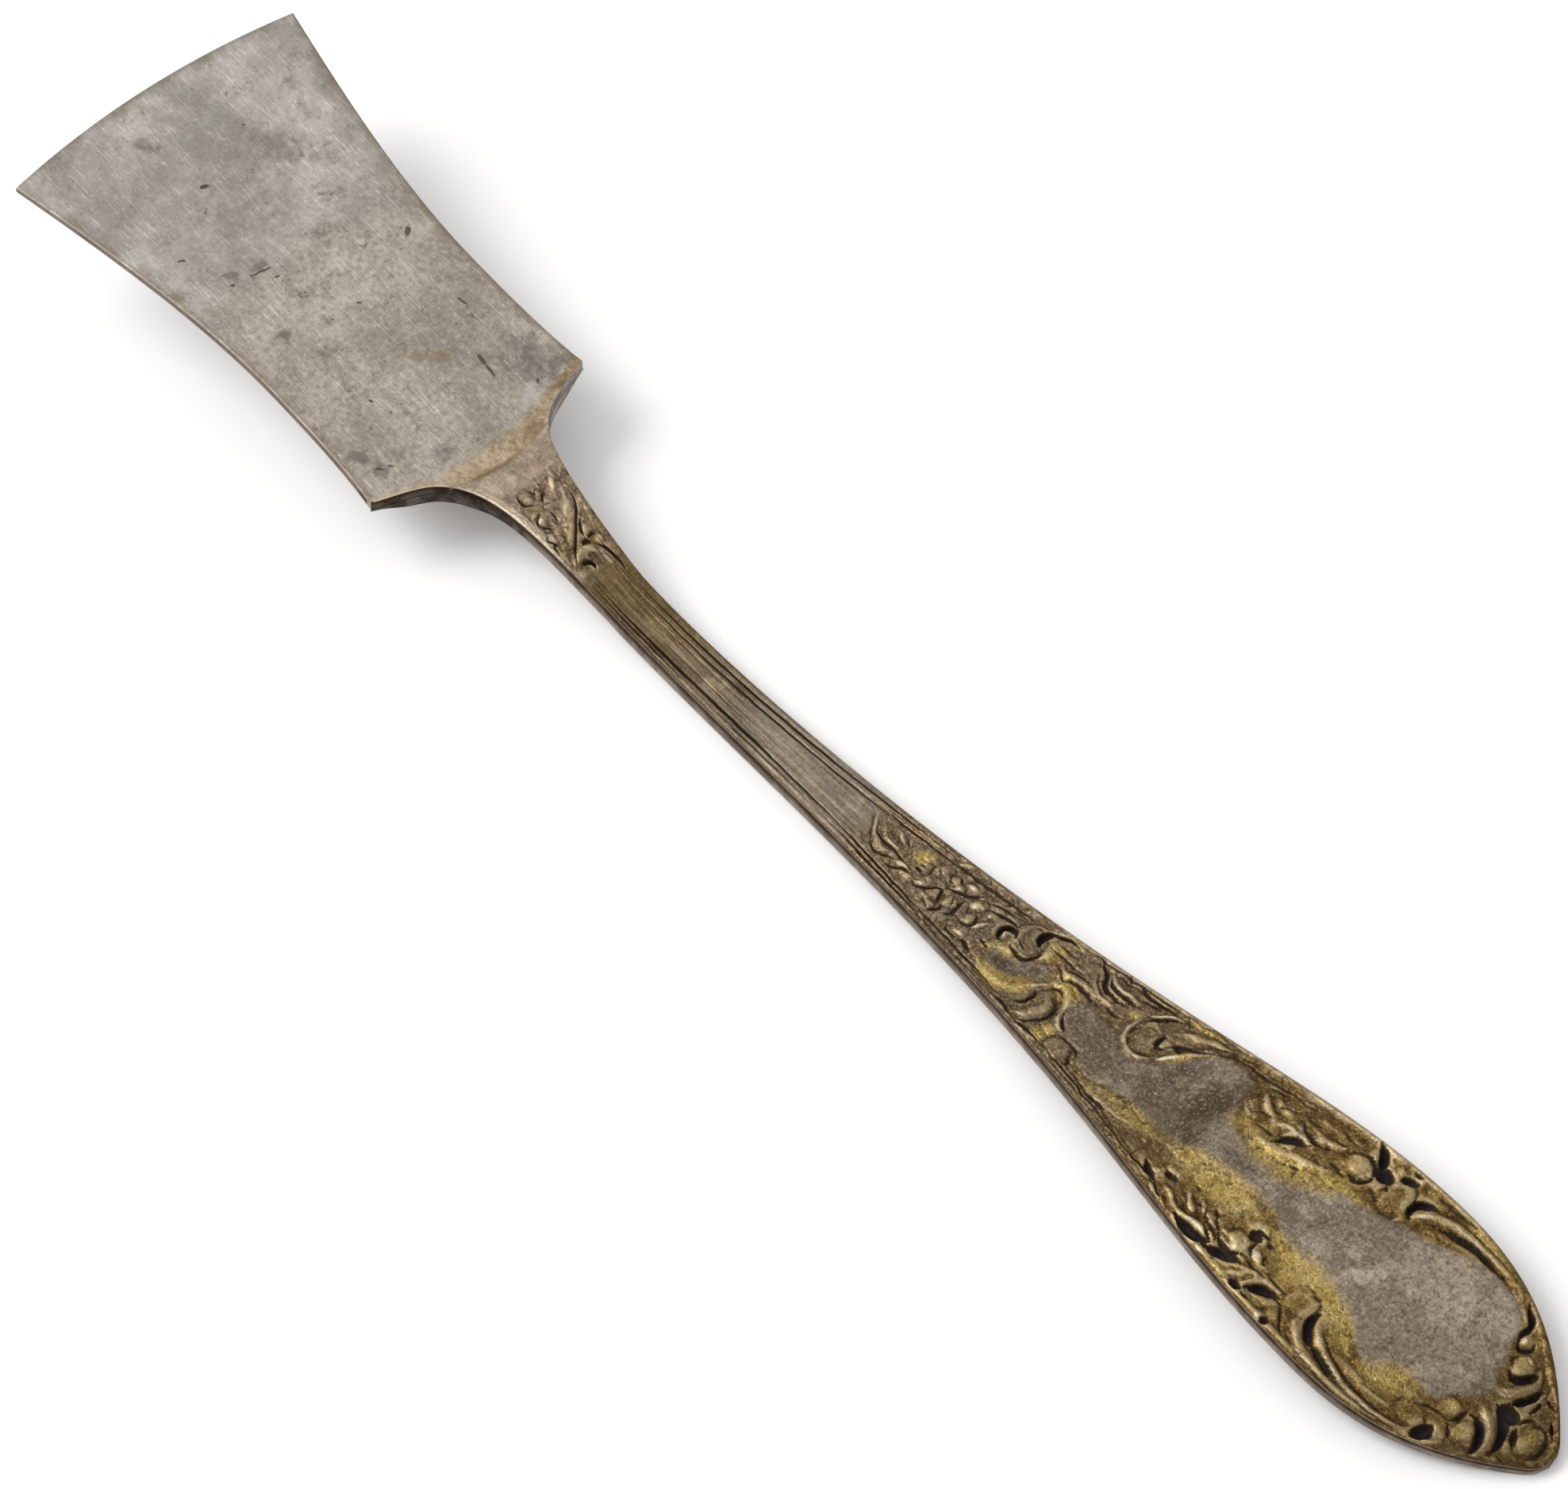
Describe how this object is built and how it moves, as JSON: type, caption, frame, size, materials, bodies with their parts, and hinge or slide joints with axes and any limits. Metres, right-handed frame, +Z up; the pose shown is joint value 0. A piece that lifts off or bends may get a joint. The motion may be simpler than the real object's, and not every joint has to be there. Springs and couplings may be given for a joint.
{
  "type": "pate spoon",
  "caption": "Small flat-bladed pate spoon: a spatula blade brazed to a slim struck handle that lifts and widens to a pointed spatulate end.",
  "frame": {"origin": "middle of the spoon's outer box in X and Y, on the table in Z", "axes": "+X runs along the spoon from the blade to the handle's tip, +Z is up as it lies on a table, face up, and Y runs across it"},
  "size_m": [0.1412, 0.024, 0.0111],
  "materials": {
    "blade": "worn satin silver plate, mottled grey, over brass",
    "braze": "brassy braze line, dull",
    "handle": "worn silver plate with brown tarnish, gilt left in the hollows"
  },
  "bodies": {
    "root": {"blade": "blade", "heel_braze": "braze", "handle": "handle"}
  },
  "joints": []
}
